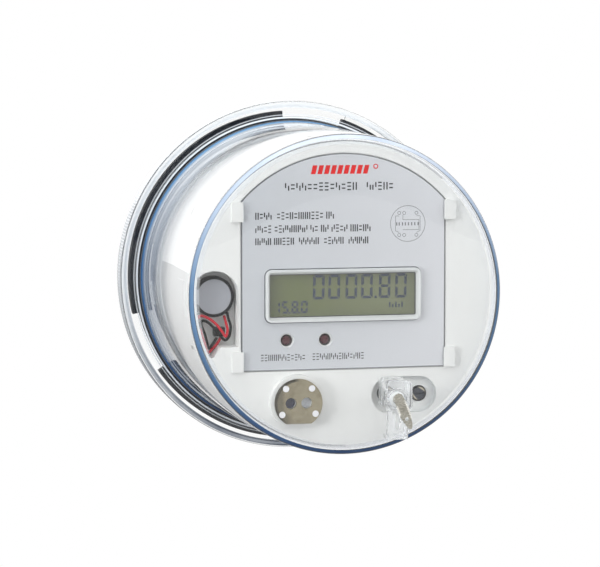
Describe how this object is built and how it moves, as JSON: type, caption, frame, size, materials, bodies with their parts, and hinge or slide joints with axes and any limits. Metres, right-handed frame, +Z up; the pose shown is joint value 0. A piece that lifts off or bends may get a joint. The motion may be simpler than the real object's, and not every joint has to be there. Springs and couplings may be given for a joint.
{
  "type": "socket electric meter",
  "caption": "Round socket-base electric meter under a deep clear cover, with a digital display, optical port, sealed demand-reset plunger and rear blades.",
  "frame": {"origin": "centre of the base's rear seating plane, where the base meets the socket", "axes": "+Z up, +X right seen from the front, the display faces -Y and the blades point to +Y"},
  "size_m": [0.1764, 0.1687, 0.1764],
  "materials": {
    "base_black": "moulded, fine spark texture",
    "gasket_rubber": "smooth black rubber",
    "blade_tin": "tinned copper, brushed along the blade",
    "copper": "bare copper strip",
    "transformer_blue": "potted shell",
    "lead_blue": "wire insulation",
    "lead_yellow": "wire insulation",
    "board_green": "solder mask",
    "winding_yellow": "taped winding and core",
    "capacitor_sleeve": "shrunk sleeve",
    "varistor_blue": "dipped coating",
    "spacer_brass": "turned brass",
    "chip_black": "moulded packages",
    "screw_steel": "zinc plated",
    "shroud_white": "satin white moulding",
    "face_white": "satin white moulding",
    "nameplate_silver": "silver with a fine grain",
    "bezel_silver": "bright silvered frame",
    "window_clear": "clear window",
    "display_olive": "reflective display panel",
    "led_red": "dark red lens",
    "port_nickel": "nickel plate with a warm tone",
    "rivet_white": "moulded white pins",
    "emitter_dark": "dark infrared lens",
    "detector_clear": "clear lens",
    "switch_black": "switch bodies",
    "reset_button_black": "dark cap",
    "test_button_grey": "dark slotted cap",
    "cell_grey": "cell end",
    "sleeve_black": "shrunk sleeve",
    "wire_red": "wire insulation",
    "wire_black": "wire insulation",
    "connector_black": "plug",
    "cover_clear": "clear polycarbonate with a faint blue tint",
    "guard_clear": "water clear polycarbonate",
    "spring_steel": "spring wire",
    "collar_natural": "natural acetal, satin",
    "plunger_nickel": "nickel plated, lightly worn",
    "clip_steel": "spring clip"
  },
  "bodies": {
    "meter": {"base_housing": "base_black", "base_feet": "base_black", "cover_gasket": "gasket_rubber", "current_blade_1": "blade_tin", "current_blade_2": "blade_tin", "current_blade_3": "blade_tin", "current_blade_4": "blade_tin", "current_blade_5": "blade_tin", "current_blade_6": "blade_tin", "potential_blades": "blade_tin", "blade_pins": "screw_steel", "current_bar_a": "copper", "current_bar_b": "copper", "current_bar_c": "copper", "bar_screws": "screw_steel", "current_transformer_a": "transformer_blue", "current_transformer_b": "transformer_blue", "current_transformer_c": "transformer_blue", "transformer_leads": "lead_blue", "potential_leads": "lead_yellow", "power_board": "board_green", "power_transformer": "winding_yellow", "power_capacitors": "capacitor_sleeve", "surge_varistors": "varistor_blue", "board_spacers": "spacer_brass", "main_board": "board_green", "meter_chips": "chip_black", "board_header": "chip_black", "board_screws": "screw_steel", "inner_shroud": "shroud_white", "front_plate": "face_white", "nameplate": "nameplate_silver", "lcd_bezel": "bezel_silver", "lcd_window": "window_clear", "lcd_panel": "display_olive", "display_board": "board_green", "display_screws": "screw_steel", "pulse_led_1": "led_red", "pulse_led_2": "led_red", "optical_port_plate": "port_nickel", "optical_rivets": "rivet_white", "optical_emitter": "emitter_dark", "optical_detector": "detector_clear", "reset_switch": "switch_black", "test_switch": "switch_black", "battery": "cell_grey", "battery_sleeve": "sleeve_black", "battery_lead_red": "wire_red", "battery_lead_black": "wire_black", "battery_connector": "connector_black"},
    "cover_unit": {"cover": "cover_clear", "reset_guard": "guard_clear", "guard_skirt": "guard_clear", "reset_spring": "spring_steel"},
    "reset_slider": {"reset_collar": "collar_natural"},
    "reset_key": {"reset_plunger": "plunger_nickel", "retaining_clip": "clip_steel"},
    "reset_switch_key": {"reset_button": "reset_button_black"},
    "test_switch_key": {"test_button": "test_button_grey"}
  },
  "joints": [
    {"name": "cover_twist", "type": "hinge", "parent": "meter", "child": "cover_unit", "pos_m": [0, 0, 0], "axis": [0, -1, 0], "range_deg": [0, 12]},
    {"name": "reset_push", "type": "slide", "parent": "cover_unit", "child": "reset_slider", "axis": [0, 1, 0], "range_m": [0, 0.0025], "stiffness_N_per_m": 500, "springref_m": -0.003, "deforming": ["reset_spring"]},
    {"name": "reset_turn", "type": "hinge", "parent": "reset_slider", "child": "reset_key", "pos_m": [0.021, -0.1385, -0.048], "axis": [0, -1, 0], "range_deg": [-22, 68]},
    {"name": "reset_button_slide", "type": "slide", "parent": "meter", "child": "reset_switch_key", "axis": [0, 1, 0], "range_m": [0, 0.0025], "stiffness_N_per_m": 250, "springref_m": -0.002},
    {"name": "test_button_slide", "type": "slide", "parent": "meter", "child": "test_switch_key", "axis": [0, 1, 0], "range_m": [0, 0.0015], "stiffness_N_per_m": 250, "springref_m": -0.002}
  ],
  "couplings": [
    {"joint": "reset_button_slide", "follows": "reset_push", "ratio": 1}
  ]
}
